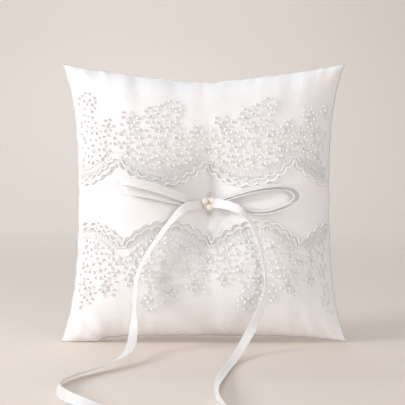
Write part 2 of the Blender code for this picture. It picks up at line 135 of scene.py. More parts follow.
# The lace
LACE_REPEAT = 0.063
LACE_DIPS = {1: -0.0305, -1: -0.0375}  # a low point's place across the upper and the lower band
LACE_EDGE = 0.012  # from the cushion's middle line to a low point
LACE_SCALLOP = 0.014
LACE_SCALLOP_POWER = 2.2
LACE_TOP = 0.078
LACE_REACH = 0.095
LACE_LIFT = 0.0007
NET_LIFT = LACE_LIFT * 0.6
NET_GRID = (240, 40)
EDGE_STEPS = 1400  # points along the edge from side to side
EDGE_WAVE = 0.0078  # length of one small scallop along the edge
EDGE_WAVE_DEPTH = 0.0013
EDGE_WAVE_SWING = 1.6  # from cusp to crest, in depths
EDGE_WAVE_ROUND = 0.7
EDGE_CORD_RADIUS = 0.00080
SECOND_CORD_RADIUS = EDGE_CORD_RADIUS * 0.65
SECOND_CORD = 0.0034  # how far inside the edge the second cord runs
FESTOON = 0.0092  # how far inside the edge the festoon line runs
BAR_SPACING = 0.0030
EYELET_RADIUS = 0.0008
EYELET_INSIDE = 0.0019  # from the second cord to an eyelet
EYELET_SIDES = 8
PICOT_RADIUS = 0.0005
PICOT_INSIDE = 0.0009  # from the festoon line to the dots along it
PICOT_LIFT = LACE_LIFT + 0.0002
DOT_RADIUS = 0.00106
DOT_FLATNESS = 0.7
DOT_LIFT = 0.0003
STEM_RADIUS = 0.00020
STEM_POINTS = 4
SPRIG_SPACING = 0.0085
DOT_SPACING = 0.0034
FIELD_GAP = 0.0018  # between the festoon line and the nearest dots
# Round clusters along the top of the sprigs: metres past the low point, height, radius
CLUSTERS = [
    (0.008, 0.0665, 0.0086), (-0.0045, 0.0605, 0.0070),
    (-0.0205, 0.0555, 0.0076), (0.025, 0.049, 0.0070),
]
# Heights of the field below the clusters, at places past the low point; the first repeats at the end
FIELD_PLACES = [-0.0205, -0.012, -0.0045, 0.008, 0.017, 0.025, 0.034, 0.0425]
FIELD_HEIGHTS = [0.054, 0.049, 0.057, 0.061, 0.050, 0.044, 0.045, 0.054]

# The ribbon and the pearls
RIBBON_WIDTH = 0.006
RIBBON_THICK = 0.00028
RIBBON_STEPS = 10  # sections between two points of a route
RIBBON_COLUMNS = 17
SELVEDGE = 0.86  # the firm edges start here, as a share of the half width
LOOP_GATHERS = 0.012
LOOP_CUP = 0.00035
TAIL_CUP = 0.0002
PLEAT_DEPTH = 0.00035
GATHERED_SHARE = 0.45  # how much of its width a gathered ribbon loses
KNOT_SIZE = (0.0040, 0.0017, 0.0032)
KNOT_Y = -0.0154
KNOT_FOLD_DEPTH = 0.07
PEARL_RADIUS = 0.0023
PEARL_RING = 0.0029
PEARL_RING_TURN = math.radians(37)
PEARL_Y = -0.0198
PEARL_HOLE = 0.0004

# Routes in millimetres, as in the part's source: x, y, z of the ribbon's middle, then the way across it
LOOP_LEFT_FRONT = [
    (-1.3, -15.5, 0.5, 0, 0, 1), (-9, -19.5, 1.5, 0, 0, 1), (-18, -25.0, 4.5, 0.2, 0, 1),
    (-30, -29.4, 8.5, 0.25, 0, 1), (-43, -31.6, 11.8, 0.2, 0, 1), (-52, -32.4, 13.6, 0.1, 0, 1),
    (-56.5, -34.7, 14.4, 0, 0, 1), (-52, -37.0, 13.8, 0.1, 0, 1), (-43, -37.2, 12.0, 0.2, 0, 1),
    (-30, -34.2, 8.5, 0.25, 0, 1), (-18, -28.4, 4.5, 0.2, 0, 1), (-9, -21.0, 1.5, 0, 0, 1),
    (-1.3, -16.2, 0.5, 0, 0, 1),
]
LOOP_LEFT_REAR = [
    (-1.3, -14.1, -0.5, 0, 0, 1), (-9, -17.6, -0.2, 0, 0, 1), (-18, -21.6, 1.5, 0.1, 0, 1),
    (-30, -25.2, 4.0, 0.2, 0, 1), (-43, -27.0, 6.5, 0.2, 0, 1), (-51, -27.6, 8.0, 0.1, 0, 1),
    (-54.5, -29.0, 8.8, 0, 0, 1), (-51, -30.4, 8.0, 0.1, 0, 1), (-43, -30.1, 6.5, 0.2, 0, 1),
    (-30, -27.8, 4.0, 0.2, 0, 1), (-18, -23.2, 1.5, 0.1, 0, 1), (-9, -18.4, -0.2, 0, 0, 1),
    (-1.3, -14.8, -0.5, 0, 0, 1),
]
LOOP_RIGHT_OUTER = [
    (9.6, -17.4, 1.6, 0, 1, 0), (13.3, -19.3, 3.0, 0, 0.95, 0.3), (21, -23.5, 6.0, 0, 0.85, 0.5),
    (31, -27.0, 8.6, 0, 0.85, 0.5), (42, -28.5, 10.6, 0, 0.88, 0.45), (54, -28.2, 11.0, 0, 0.95, 0.3),
    (62, -26.9, 9.0, 0, 1, 0.1), (65.8, -26.2, 4.6, 0, 1, 0), (62.5, -26.4, 0.4, 0, 1, 0.1),
    (54, -27.8, -4.0, 0, 0.95, 0.3), (43, -28.4, -7.0, 0, 0.93, 0.35), (32, -27.4, -6.6, 0, 0.93, 0.35),
    (22, -23.6, -3.2, 0, 0.95, 0.3), (14, -19.6, -1.5, 0, 1, 0.1), (9.6, -17.4, -1.0, 0, 1, 0),
]
LOOP_RIGHT_INNER = [
    (9.6, -17.4, 0.8, 0, 1, 0), (13.3, -19.3, 1.7, 0, 0.95, 0.3), (21, -23.5, 4.2, 0, 0.85, 0.5),
    (31, -27.0, 6.7, 0, 0.85, 0.5), (42, -28.5, 8.7, 0, 0.88, 0.45), (52, -28.3, 8.9, 0, 0.95, 0.3),
    (58.5, -27.4, 7.2, 0, 1, 0.1), (61.2, -26.8, 4.0, 0, 1, 0), (58.5, -27.0, 0.9, 0, 1, 0.1),
    (52, -27.9, -2.2, 0, 0.95, 0.3), (43, -28.4, -4.9, 0, 0.93, 0.35), (32, -27.4, -4.8, 0, 0.93, 0.35),
    (22, -23.6, -1.6, 0, 0.95, 0.3), (14, -19.6, -0.5, 0, 1, 0.1), (9.6, -17.4, -0.1, 0, 1, 0),
]
TAIL_LEFT = [
    (-1.6, -14.7, 97.0, 0, 0, 1), (-7.0, -19.6, 96.6, 0, 0, 1), (-13.5, -24.4, 94.4, -0.3, 0.3, 0.9),
    (-21.7, -29.6, 86.7, -0.4, 0.8, 0.35), (-29.8, -32.6, 76.6, -0.4, 0.85, 0.3),
    (-39.0, -34.6, 62.6, -0.4, 0.9, 0.2), (-45.2, -35.6, 48.4, -0.4, 0.9, 0.1),
    (-46.7, -42.0, 27.2, -0.5, 0.8, -0.4), (-46.5, -56.0, 13.4, -0.9, 0.3, 0),
    (-47.2, -83.0, 7.6, -1, -0.1, -0.1), (-51.5, -103.0, 5.2, -0.8, 0.3, -0.3),
    (-61.3, -123.5, 3.4, -0.7, 0.6, -0.4), (-73.0, -144.0, 2.6, -0.7, 0.5, -0.5),
    (-79.2, -165.4, 2.7, -0.6, 0.2, -0.7), (-79.4, -190.0, 3.2, -0.3, 0, -1),
    (-73.5, -208.0, 3.0, -0.4, -0.4, -0.9), (-64.5, -220.0, 2.4, -0.5, -0.6, -0.6),
    (-53.0, -230.0, 1.2, -0.6, -0.8, -0.2), (-40.0, -237.5, 0.5, -0.5, -0.9, 0),
]
TAIL_RIGHT = [
    (9.8, -19.8, 97.6, 0, 0, 1), (15.0, -24.0, 96.8, 0.1, 0.1, 1), (21.5, -29.0, 94.8, 0.2, 0.4, 0.9),
    (26.5, -32.2, 91.0, 0.35, 0.8, 0.3), (31.4, -33.8, 85.4, 0.3, 0.9, 0.2),
    (36.5, -34.6, 72.7, 0.3, 0.95, 0.1), (40.5, -35.6, 56.5, 0.3, 0.95, 0),
    (41.6, -36.6, 43.2, 0.4, 0.9, -0.1), (40.0, -39.6, 33.6, 0.6, 0.75, -0.3),
    (33.8, -46.5, 19.3, 0.85, 0.4, -0.2), (28.2, -56.0, 10.6, 0.9, 0, -0.1),
    (23.0, -70.0, 4.4, 0.95, -0.1, -0.1), (17.4, -96.0, 1.2, 1, -0.2, 0),
    (12.6, -124.0, 1.0, 1, -0.1, 0.1), (9.4, -152.0, 1.5, 0.9, -0.1, 0.3),
    (7.3, -184.0, 2.6, 0.6, 0, 0.8), (7.3, -208.0, 3.1, 0.1, 0, 1),
    (9.6, -226.0, 2.8, -0.4, -0.2, 0.9), (15.0, -241.0, 1.6, -0.8, -0.3, 0.4),
    (23.0, -254.0, 0.6, -0.9, -0.5, 0), (32.5, -265.0, 0.5, -0.8, -0.6, 0),
]
# The right loops and the right tail are drawn on to these, where the knot covers them
LOOP_INTO_KNOT = [(4.8, -15.9, 0.5, 0, 0.4, 1)]
TAIL_INTO_KNOT = [(4.6, -16.6, 97.4, 0, 0, 1)]


# ---------------------------------------------------------------- camera, lights and floor

def aim(thing, target):
    """Turns a lamp towards the target."""
    thing.rotation_euler = (Vector(target) - thing.location).to_track_quat("-Z", "Y").to_euler()


def make_camera():
    """A long lens a little above the pillow's middle, tipped slightly down."""
    data = bpy.data.cameras.new("camera")
    data.lens = LENS
    data.clip_end = 20
    camera = bpy.data.objects.new("camera", data)
    camera.location = CAMERA_PLACE
    camera.rotation_euler = (math.pi / 2 - CAMERA_DOWN, 0, 0)
    bpy.context.scene.collection.objects.link(camera)
    bpy.context.scene.camera = camera


def softbox(name, place, target, size, power, colour):
    """A square lamp; size is its side in metres and power is in watts."""
    data = bpy.data.lights.new(name, "AREA")
    data.size = size
    data.energy = power
    data.color = colour
    lamp = bpy.data.objects.new(name, data)
    lamp.location = place
    aim(lamp, target)
    bpy.context.scene.collection.objects.link(lamp)


def make_lights():
    """A window on the left, soft light from above, a warmer fill on the right and a lit backdrop."""
    softbox("window", (-0.95, -0.42, 0.42), LIGHT_TARGET, 0.40, 7.7, (0.99, 0.99, 1.0))
    softbox("above", (-0.10, -0.05, 1.2), LIGHT_TARGET, 0.7, 1.4, (0.93, 0.97, 1.0))
    softbox("bounce", (0.45, -1.0, 0.30), LIGHT_TARGET, 0.5, 3.0, (1.0, 0.89, 0.82))
    softbox("backdrop", (-0.3, 1.5, 1.9), (-0.3, 2.6, 0.5), 0.8, 19.0, (0.84, 0.93, 1.0))
    world = bpy.data.worlds.new("studio")
    world.use_nodes = True
    background = world.node_tree.nodes["Background"]
    background.inputs["Color"].default_value = (0.95, 0.96, 0.98, 1)
    background.inputs["Strength"].default_value = WORLD_STRENGTH
    bpy.context.scene.world = world
    bpy.context.scene.view_settings.view_transform = "Standard"


def make_floor():
    """A pale floor that curves up into a pale backdrop."""
    flat_end = FLOOR_REACH - BACKDROP_BEND
    profile = [(-FLOOR_REACH, 0.0), (flat_end, 0.0)]
    for k in range(1, BEND_STEPS + 1):
        turn = math.pi / 2 * k / BEND_STEPS
        forward = BACKDROP_BEND * math.sin(turn)
        profile.append((flat_end + forward, BACKDROP_BEND - BACKDROP_BEND * math.cos(turn)))
    profile.append((FLOOR_REACH, BACKDROP_HEIGHT))
    verts = [(x, y, z) for y, z in profile for x in (-FLOOR_HALF_WIDTH, FLOOR_HALF_WIDTH)]
    faces = [(2 * k, 2 * k + 1, 2 * k + 3, 2 * k + 2) for k in range(len(profile) - 1)]
    mesh = bpy.data.meshes.new("studio_floor")
    mesh.from_pydata(verts, [], faces)
    mesh.shade_smooth()
    mesh.materials.append(plain_finish("studio_floor", FLOOR_COLOUR, 0.6))
    floor = bpy.data.objects.new("studio_floor", mesh)
    bpy.context.scene.collection.objects.link(floor)


# ---------------------------------------------------------------- materials

def plain_finish(name, colour, roughness):
    """A material with only its Principled shader, for the other finishes to build on."""
    made = bpy.data.materials.new(name)
    made.use_nodes = True
    shader = made.node_tree.nodes["Principled BSDF"]
    shader.inputs["Base Color"].default_value = (*colour, 1)
    shader.inputs["Roughness"].default_value = roughness
    return made


class Nodes:
    """Short calls for building a material's node tree."""

    def __init__(self, made):
        self.tree = made.node_tree
        self.shader = self.tree.nodes["Principled BSDF"]

    def add(self, kind, **settings):
        node = self.tree.nodes.new(kind)
        for key, value in settings.items():
            setattr(node, key, value)
        return node

    def fill(self, node, values):
        """Sets a node's constants, by the names of its sockets."""
        for name, value in values.items():
            node.inputs[name].default_value = value

    def link(self, output, socket):
        self.tree.links.new(output, socket)

    def mapped(self, source, scale):
        """Texture coordinates of one kind, stretched by scale."""
        coordinates = self.add("ShaderNodeTexCoord")
        stretch = self.add("ShaderNodeMapping")
        stretch.inputs["Scale"].default_value = scale
        self.link(coordinates.outputs[source], stretch.inputs["Vector"])
        return stretch.outputs["Vector"]

    def noise(self, vector, scale, detail=2.0, roughness=0.5):
        node = self.add("ShaderNodeTexNoise")
        self.fill(node, {"Scale": scale, "Detail": detail, "Roughness": roughness})
        self.link(vector, node.inputs["Vector"])
        return node.outputs["Fac"]

    def wave(self, vector, scale, direction, distortion=0.0):
        node = self.add("ShaderNodeTexWave", bands_direction=direction)
        self.fill(node, {"Scale": scale, "Distortion": distortion})
        self.link(vector, node.inputs["Vector"])
        return node.outputs["Fac"]

    def maths(self, operation, a, b):
        node = self.add("ShaderNodeMath", operation=operation)
        for socket, value in zip(node.inputs, (a, b)):
            if isinstance(value, (int, float)):
                socket.default_value = value
            else:
                self.link(value, socket)
        return node.outputs["Value"]

    def colours(self, factor, low, high):
        """A colour between low and high by factor."""
        ramp = self.add("ShaderNodeValToRGB")
        ramp.color_ramp.elements[0].color = (*low, 1)
        ramp.color_ramp.elements[1].color = (*high, 1)
        self.link(factor, ramp.inputs["Fac"])
        return ramp.outputs["Color"]

    def range(self, factor, low, high):
        node = self.add("ShaderNodeMapRange")
        self.fill(node, {"To Min": low, "To Max": high})
        self.link(factor, node.inputs["Value"])
        return node.outputs["Result"]

    def bump(self, height, depth, strength=1.0, under=None):
        node = self.add("ShaderNodeBump")
        self.fill(node, {"Distance": depth, "Strength": strength})
        self.link(height, node.inputs["Height"])
        if under is not None:
            self.link(under, node.inputs["Normal"])
        return node.outputs["Normal"]


def satin_finish():
    """Heavy duchess satin: a soft lustre, fine floats across the weave, slight unevenness."""
    made = plain_finish("satin", (0.93, 0.93, 0.94), 0.40)
    n = Nodes(made)
    cloth = n.mapped("UV", (200, 200, 200))
    warp = n.wave(cloth, 1.1, "X", 1.0)
    weft = n.wave(cloth, 0.8, "Y", 1.6)
    weave = n.maths("MULTIPLY", warp, weft)
    slubs = n.noise(cloth, 0.35, 4.0, 0.6)
    broad = n.noise(cloth, 0.06, 3.0, 0.55)
    n.link(n.colours(broad, (0.905, 0.905, 0.92), (0.955, 0.95, 0.955)), n.shader.inputs["Base Color"])
    n.link(n.range(slubs, 0.34, 0.50), n.shader.inputs["Roughness"])
    waves = n.bump(slubs, 0.0006, 0.35)
    n.link(n.bump(weave, 0.00008, 0.5, waves), n.shader.inputs["Normal"])
    n.fill(n.shader, {
        "Sheen Weight": 0.25, "Sheen Roughness": 0.4, "Specular IOR Level": 0.42,
        "Subsurface Weight": 0.08, "Subsurface Radius": (0.004, 0.004, 0.004),
        "Subsurface Scale": 0.5,
    })
    return made


def ribbon_finish():
    """Narrow double-faced satin ribbon: lengthwise lustre, fine warp lines and firm selvedges."""
    made = plain_finish("ribbon_satin", (0.955, 0.955, 0.965), 0.30)
    n = Nodes(made)
    strip = n.mapped("UV", (6, 330, 1))
    warp = n.wave(strip, 3.4, "X", 0.6)
    weft = n.wave(strip, 1.3, "Y", 0.8)
    cloud = n.noise(strip, 0.25, 3.0, 0.6)
    n.link(n.colours(cloud, (0.93, 0.93, 0.945), (0.975, 0.975, 0.975)), n.shader.inputs["Base Color"])
    n.link(n.range(warp, 0.27, 0.40), n.shader.inputs["Roughness"])
    ribs = n.bump(weft, 0.00004, 0.35)
    n.link(n.bump(warp, 0.00005, 0.5, ribs), n.shader.inputs["Normal"])
    n.fill(n.shader, {
        "Anisotropic": 0.45, "Sheen Weight": 0.2, "Specular IOR Level": 0.55,
        "Subsurface Weight": 0.5, "Subsurface Radius": (0.004, 0.004, 0.004),
        "Subsurface Scale": 0.5,
    })
    return made


def thread_finish(name, colour, twist, roughness):
    """Twisted cotton or rayon thread: a fine spiral ridge and a little fuzz."""
    made = plain_finish(name, colour, roughness)
    n = Nodes(made)
    spot = n.mapped("Object", (1000, 1000, 1000))
    spiral = n.wave(spot, twist, "DIAGONAL", 2.0)
    fuzz = n.noise(spot, 2.2, 4.0, 0.6)
    low = tuple(c * 0.93 for c in colour)
    n.link(n.colours(fuzz, low, colour), n.shader.inputs["Base Color"])
    n.link(n.range(fuzz, roughness - 0.1, roughness + 0.1), n.shader.inputs["Roughness"])
    soft = n.bump(fuzz, 0.0001, 0.4)
    n.link(n.bump(spiral, 0.0001, 0.6, soft), n.shader.inputs["Normal"])
    n.shader.inputs["Sheen Weight"].default_value = 0.35
    return made


def net_finish():
    """Fine bobbinet: hexagonal holes that let the satin show through."""
    made = plain_finish("lace_net", (0.95, 0.95, 0.955), 0.7)
    n = Nodes(made)
    mesh = n.mapped("UV", (190, 66, 1))
    cells = n.add("ShaderNodeTexVoronoi", feature="DISTANCE_TO_EDGE")
    cells.inputs["Scale"].default_value = 0.95
    cells.inputs["Randomness"].default_value = 0.25
    n.link(mesh, cells.inputs["Vector"])
    strand = n.maths("LESS_THAN", cells.outputs["Distance"], 0.045)
    n.link(strand, n.shader.inputs["Alpha"])
    fuzz = n.noise(mesh, 3.0, 2.0, 0.5)
    n.link(n.range(fuzz, 0.6, 0.85), n.shader.inputs["Roughness"])
    n.link(n.bump(fuzz, 0.00005, 0.5), n.shader.inputs["Normal"])
    return made


def pearl_finish():
    """Glass pearl: warm cream body, a painted sheen that turns the colour pinker towards the rim, where
    the surface turns away from the view, and a clear lustre.
    """
    made = plain_finish("pearl", (0.90, 0.84, 0.72), 0.16)
    n = Nodes(made)
    spot = n.mapped("Object", (400, 400, 400))
    cloud = n.noise(spot, 1.6, 3.0, 0.5)
    # painted sheen: the Facing of a Layer Weight tints the base colour pinker where the surface turns
    # away from the view
    rim = n.add("ShaderNodeLayerWeight")
    rim.inputs["Blend"].default_value = 0.35
    body = n.colours(cloud, (0.86, 0.78, 0.64), (0.93, 0.88, 0.78))
    blend = n.add("ShaderNodeMix", data_type="RGBA")
    n.link(rim.outputs["Facing"], blend.inputs["Factor"])
    n.link(body, blend.inputs["A"])
    blend.inputs["B"].default_value = (0.88, 0.76, 0.66, 1)
    n.link(blend.outputs["Result"], n.shader.inputs["Base Color"])
    n.link(n.range(cloud, 0.12, 0.22), n.shader.inputs["Roughness"])
    n.link(n.bump(cloud, 0.00004, 0.3), n.shader.inputs["Normal"])
    n.fill(n.shader, {"Coat Weight": 0.6, "Coat Roughness": 0.06, "Specular IOR Level": 0.6})
    return made


def fibre_finish():
    """Polyester hollow-fibre stuffing."""
    made = plain_finish("fibre", (0.92, 0.92, 0.92), 0.9)
    n = Nodes(made)
    spot = n.mapped("Object", (1000, 1000, 1000))
    strands = n.wave(spot, 0.6, "DIAGONAL", 14.0)
    tufts = n.noise(spot, 0.12, 5.0, 0.65)
    n.link(n.colours(tufts, (0.84, 0.84, 0.85), (0.95, 0.95, 0.95)), n.shader.inputs["Base Color"])
    lumps = n.bump(tufts, 0.002, 0.6)
    n.link(n.bump(strands, 0.0004, 0.8, lumps), n.shader.inputs["Normal"])
    n.shader.inputs["Sheen Weight"].default_value = 0.5
    return made


# ---------------------------------------------------------------- making pieces

def place(points):
    """Points worked out upright around the cushion's centre, moved to the row frame."""
    turn = np.array(LEANED.to_3x3())
    return np.asarray(points) @ turn.T + np.array(LEANED.to_translation())


def make_piece(name, verts, faces, finish, uv=None, replaced=()):
    """A piece that rides on the pillow; uv gives each vertex its place on the cloth, 0 to 1."""
    mesh = bpy.data.meshes.new(name)
    mesh.from_pydata([tuple(p) for p in verts], [], [tuple(f) for f in faces])
    if uv is not None:
        layer = mesh.uv_layers.new(name="UVMap")
        corners = np.empty(len(mesh.loops), dtype=np.int32)
        mesh.loops.foreach_get("vertex_index", corners)
        layer.data.foreach_set("uv", np.asarray(uv, dtype=np.float32)[corners].ravel())
    bm = bmesh.new()
    bm.from_mesh(mesh)
    bmesh.ops.recalc_face_normals(bm, faces=bm.faces)
    bm.to_mesh(mesh)
    bm.free()
    mesh.shade_smooth()
    mesh.materials.append(finish)
    made = bpy.data.objects.new(name, mesh)
    bpy.context.scene.collection.objects.link(made)
    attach(made, "root")
    if replaced:
        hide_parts(*replaced)
    return made


class Parts:
    """Collects the vertices and faces of many small shapes for one piece."""

    def __init__(self):
        self.verts = []
        self.faces = []

    def add(self, verts, faces):
        start = len(self.verts)
        self.verts.extend(verts)
        self.faces.extend(tuple(start + k for k in face) for face in faces)


def grid_quads(numbers):
    """The faces of a grid, from the table of its vertices' numbers."""
    corners = (numbers[:-1, :-1], numbers[:-1, 1:], numbers[1:, 1:], numbers[1:, :-1])
    return np.stack(corners, axis=-1).reshape(-1, 4)


def round_the_edge(grid):
    """What stands along a grid's four sides, in one loop."""
    return np.concatenate([grid[0, :-1], grid[:-1, -1], grid[-1, :0:-1], grid[:0:-1, 0]])


def doubled_sheet(shape):
    """The faces of two grids of this shape, one over the other, with walls round their edge."""
    numbers = np.arange(shape[0] * shape[1]).reshape(shape)
    quads = grid_quads(numbers)
    rim = round_the_edge(numbers)
    ahead = np.roll(rim, -1)
    walls = np.stack([rim, ahead, ahead + numbers.size, rim + numbers.size], axis=-1)
    return quads.tolist() + (quads + numbers.size).tolist() + walls.tolist()


def ring_faces(near, far, sides):
    """The faces between two rings of points, given the numbers of their first points."""
    return [
        (near + s, near + (s + 1) % sides, far + (s + 1) % sides, far + s) for s in range(sides)
    ]


def running_length(steps):
    """The distance from the start, given the distances between points."""
    return np.concatenate([[0], np.cumsum(steps)])


def smooth_route(points, steps):
    """A smooth curve through the points with steps sections to each stretch."""
    spots = [Vector(p) for p in points]
    tangents = []
    for k in range(len(spots)):
        before = spots[max(k - 1, 0)]
        after = spots[min(k + 1, len(spots) - 1)]
        tangents.append((after - before) / 6 if 0 < k < len(spots) - 1 else (after - before) / 3)
    route = [spots[0]]
    for k in range(len(spots) - 1):
        start, end = spots[k], spots[k + 1]
        stretch = interpolate_bezier(start, start + tangents[k], end - tangents[k + 1], end, steps + 1)
        route.extend(stretch[1:])
    return np.array([tuple(p) for p in route])


def unit(rows):
    """Vectors at length 1."""
    return rows / np.maximum(np.linalg.norm(rows, axis=-1, keepdims=True), 1e-12)


def ways(route, closed=False):
    """The direction of a route at each of its points."""
    if closed:
        return unit(np.roll(route, -1, 0) - np.roll(route, 1, 0))
    return unit(np.gradient(route, axis=0))


def tube(route, radius, sides, closed=False):
    """Vertices and faces of a round thread along a route."""
    ahead = ways(route, closed)
    up = np.where(np.abs(ahead[:, 1:2]) < 0.9, [[0.0, 1.0, 0.0]], [[1.0, 0.0, 0.0]])
    aside = unit(np.cross(ahead, up))
    over = unit(np.cross(aside, ahead))
    turns = 2 * np.pi * np.arange(sides) / sides
    circle = aside[:, None] * np.cos(turns)[None, :, None]
    circle = circle + over[:, None] * np.sin(turns)[None, :, None]
    verts = (route[:, None] + radius * circle).reshape(-1, 3)
    faces = []
    count = len(route)
    for k in range(count if closed else count - 1):
        faces += ring_faces(k * sides, (k + 1) % count * sides, sides)
    if not closed:
        faces.append(tuple(range(sides - 1, -1, -1)))
        faces.append(tuple((count - 1) * sides + s for s in range(sides)))
    return verts, faces


# ---------------------------------------------------------------- the cushion's shape

def bow(t, power):
    """1 in the middle of a side, 0 at its corners."""
    return 1 - np.abs(t) ** power


def analytic_skin(u, v, side):
    """The CAD solid's outside, for arrays of u and v from -1 to 1."""
    half_width = CORNER_HALF - SIDE_PULL * bow(v, EDGE_BOW)
    top = CORNER_HALF - TOP_PULL * bow(u, TOP_BOW)
    bottom = BOTTOM_HALF - BOTTOM_PULL * bow(u, EDGE_BOW)
    half_height = np.where(v > 0, top, bottom)
    x = half_width * u * (1 + ARC_SPARE * (1 - u * u))
    z = half_height * v * (1 + ARC_SPARE * (1 - v * v))
    full = (bow(u, CROWN_SHARPNESS) * bow(v, CROWN_SHARPNESS)) ** CROWN_FULLNESS
    away = np.sqrt((x - TUFT_X) ** 2 + z ** 2 + TUFT_ROUND ** 2) - TUFT_ROUND
    deep = CROWN * full - TUFT_DEPTH * full * np.exp(-away / TUFT_SPREAD)
    return np.stack([x, side * deep, z], axis=-1)


def unit_grid():
    """u and v from -1 to 1 at each point of a cushion face."""
    steps = np.linspace(-1, 1, CELLS + 1)
    return np.meshgrid(steps, steps)


def border_mask():
    """True at the points of a face that lie on the seam."""
    mask = np.zeros((CELLS + 1, CELLS + 1), dtype=bool)
    mask[0] = mask[-1] = mask[:, 0] = mask[:, -1] = True
    return mask


def closed_pillow(faces_now):
    """Both faces joined at the border: numbers of their points, the start, the flat cut and the quads."""
    u, v = unit_grid()
    border = border_mask()
    inner = ~border
    numbers = np.full((2,) + border.shape, -1)
    numbers[0] = np.arange(border.size).reshape(border.shape)
    numbers[1] = numbers[0]
    numbers[1][inner] = border.size + np.arange(inner.sum())
    total = border.size + int(inner.sum())
    start = np.zeros((total, 3))
    flat = np.zeros((total, 3))
    faces = []
    for side in (0, 1):
        start[numbers[side]] = faces_now[side]
        level = (side * 2 - 1) * CLOTH * inner
        flat[numbers[side]] = np.stack(
            [u * CUT_HALF * FLAT_SHARE, level, v * CUT_HALF * FLAT_SHARE], axis=-1
        )
        quads = grid_quads(numbers[side])
        faces.extend((quads if side == 0 else quads[:, ::-1]).tolist())
    return numbers, start, flat, faces


def add_cloth(trial, rest):
    """Blender's cloth at satin's stiffness, blown up by pressure; the group called held stays put."""
    cloth = trial.modifiers.new("cloth", "CLOTH")
    settings = cloth.settings
    for name, value in CLOTH_SETTINGS.items():
        setattr(settings, name, value)
    settings.use_pressure = True
    settings.uniform_pressure_force = SIM_PRESSURE
    settings.vertex_group_mass = "held"
    settings.rest_shape_key = rest
    settings.effector_weights.gravity = 0
    cloth.collision_settings.use_collision = False
    cloth.point_cache.frame_start = 1
    cloth.point_cache.frame_end = SIM_FRAMES


def simulated_cushion(faces_now):
    """Both faces sewn together at the border and puffed by the cloth simulation from their flat cut."""
    numbers, start, flat, faces = closed_pillow(faces_now)
    mesh = bpy.data.meshes.new("cloth_trial")
    mesh.from_pydata(start.tolist(), [], faces)
    trial = bpy.data.objects.new("cloth_trial", mesh)
    bpy.context.scene.collection.objects.link(trial)
    trial.shape_key_add(name="Basis")
    rest = trial.shape_key_add(name="flat_cut")
    rest.data.foreach_set("co", flat.ravel())
    held = trial.vertex_groups.new(name="held")
    tuft_away = np.hypot(start[:, 0] - TUFT_X, start[:, 2])
    near_tuft = [int(k) for k in np.nonzero(tuft_away < TUFT_HELD)[0]]
    held.add([int(k) for k in numbers[0][border_mask()]] + near_tuft, 1.0, "REPLACE")
    add_cloth(trial, rest)
    scene = bpy.context.scene
    scene.frame_start = 1
    scene.frame_end = SIM_FRAMES
    for now in range(1, SIM_FRAMES + 1):
        scene.frame_set(now)
    swollen = trial.evaluated_get(bpy.context.evaluated_depsgraph_get())
    result = np.empty(start.size)
    swollen.data.vertices.foreach_get("co", result)
    bpy.data.objects.remove(trial, do_unlink=True)
    scene.frame_set(1)
    moved = result.reshape(-1, 3) - start
    length = np.linalg.norm(moved, axis=1, keepdims=True)
    capped = start + moved * np.minimum(1, SIM_CAP / np.maximum(length, 1e-9))
    return [capped[numbers[side]] for side in (0, 1)]


def ripples(along, seed, wavelength):
    """Smooth uneven waves between -1 and 1 along a line."""
    dice = np.random.default_rng(seed)
    total = np.zeros_like(along)
    for k in range(6):
        pitch = wavelength * (0.7 + 0.25 * k)
        total = total + np.sin(2 * np.pi * (along / pitch + dice.random())) / 6 ** 0.5
    return np.clip(total, -1.4, 1.4) / 1.4


def seam_waves(kind, to_seam, along_seam, seed):
    """Ripples along a seam that fade away from it; kind is one of the lists of puckers."""
    depth, wavelength, reach, offset = kind
    return depth * ripples(along_seam, seed + offset, wavelength) * np.exp(-to_seam / reach)


def tuft_creases(x, z):
    """Depth of the long crease through the tuft and of the folds that fan out from it."""
    from_crease = np.abs(x - TUFT_X - CREASE_SLANT * z)
    reach = np.exp(-(z / CREASE_REACH) ** 2) * (1 - 0.7 * np.exp(-(z / KNOT_BED) ** 2))
    crease = sum(depth * np.exp(-from_crease / width) for depth, width in (VALLEY, CREASE)) * reach
    fade = np.exp(-((x - TUFT_X) ** 2 + z ** 2) / FAN_REACH ** 2)
    fan = np.zeros_like(x)
    for slope, share in FAN_FOLDS:
        from_fold = np.abs(z - slope * (x - TUFT_X)) / math.hypot(1, slope)
        fan += share * np.exp(-from_fold / FAN[1]) * fade
    return crease + FAN[0] * fan


def dressed(points, side, seed):
    """Adds what the simulation is too coarse for: seam puckers and the creases of the tuft."""
    u, v = unit_grid()
    made = points.copy()
    outward = np.array([0.0, 1.0, 0.0]) * (side * 2 - 1)
    # for each edge: how far in from it, how far along it, and the way off the cushion
    edges = (
        (1 - v, u, np.array([0, 0, 1.0])), (1 + v, u, np.array([0, 0, -1.0])),
        (1 - u, v, np.array([1.0, 0, 0])), (1 + u, v, np.array([-1.0, 0, 0])),
    )
    for number, (to_edge, along_edge, away) in enumerate(edges):
        near = to_edge * CUT_HALF
        spot = along_edge * CUT_HALF
        puckers = seam_waves(SMALL_PUCKERS, near, spot, seed + number)
        puckers = puckers + seam_waves(BROAD_PUCKERS, near, spot, seed + number)
        open_edge = (1 - np.exp(-near / SEAM_FLAT)) * bow(along_edge, 6)
        made += outward * (open_edge * puckers)[..., None]
        wander = seam_waves(SEAM_WANDER, near, spot, SEED + number) * bow(along_edge, 8)
        made += away * wander[..., None]
    made -= outward * tuft_creases(points[..., 0], points[..., 2])[..., None]
    return made


def smooth_step(value, start, end):
    """0 before start, 1 after end, and an even change between them."""
    share = np.clip((value - start) / (end - start), 0, 1)
    return share * share * (3 - 2 * share)


def from_ear_line(u, v, foot):
    """Distance from a slanting line across the lower left corner that meets the bottom seam at -foot."""
    return np.abs(v - (-1.0 + EAR_SLOPE * (-foot - u))) / math.hypot(1, EAR_SLOPE) * CUT_HALF


